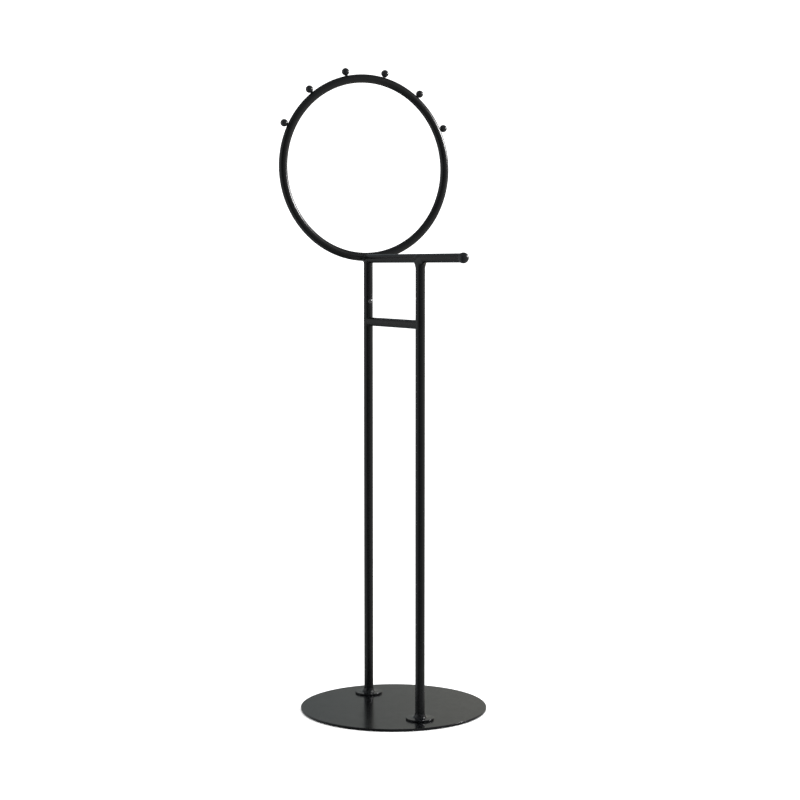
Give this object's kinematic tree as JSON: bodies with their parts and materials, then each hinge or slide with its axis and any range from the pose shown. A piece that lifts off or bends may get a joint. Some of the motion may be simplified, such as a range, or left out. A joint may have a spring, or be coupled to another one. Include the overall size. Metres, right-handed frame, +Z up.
{
  "type": "garment rack",
  "caption": "Free-standing garment rack with a round base, twin posts, an overhanging hanging rail with ball ends, and an upright hoop with ball knobs.",
  "frame": {"origin": "centre of the base's underside, on the floor", "axes": "+Z up, +X along the hanging rail from the hoop towards the overhanging end, hoop in the YZ plane"},
  "size_m": [0.5974, 0.456, 1.5527],
  "materials": {
    "frame_coat": "satin black powder coat",
    "base_coat": "satin black powder coat on a flat plate",
    "ball_coat": "smooth black coat, glossier than the tubes",
    "black_screw": "black oxide",
    "zinc_steel": "zinc plated",
    "pad_rubber": "matt"
  },
  "bodies": {
    "root": {"base_pad": "pad_rubber", "base_plate": "base_coat", "mid_bar": "frame_coat", "rail": "frame_coat", "hoop": "frame_coat", "rail_ball_left": "ball_coat", "rail_ball_right": "ball_coat", "foot_flange_left": "base_coat", "foot_bolt_left": "zinc_steel", "foot_plug_left": "zinc_steel", "post_left": "frame_coat", "joiner_left": "zinc_steel", "joint_screw_left": "black_screw", "post_top_left": "frame_coat", "foot_flange_right": "base_coat", "foot_bolt_right": "zinc_steel", "foot_plug_right": "zinc_steel", "post_right": "frame_coat", "joiner_right": "zinc_steel", "joint_screw_right": "black_screw", "post_top_right": "frame_coat", "knob_1": "ball_coat", "knob_stud_1": "zinc_steel", "knob_2": "ball_coat", "knob_stud_2": "zinc_steel", "knob_3": "ball_coat", "knob_stud_3": "zinc_steel", "knob_4": "ball_coat", "knob_stud_4": "zinc_steel", "knob_5": "ball_coat", "knob_stud_5": "zinc_steel", "knob_6": "ball_coat", "knob_stud_6": "zinc_steel"}
  },
  "joints": []
}
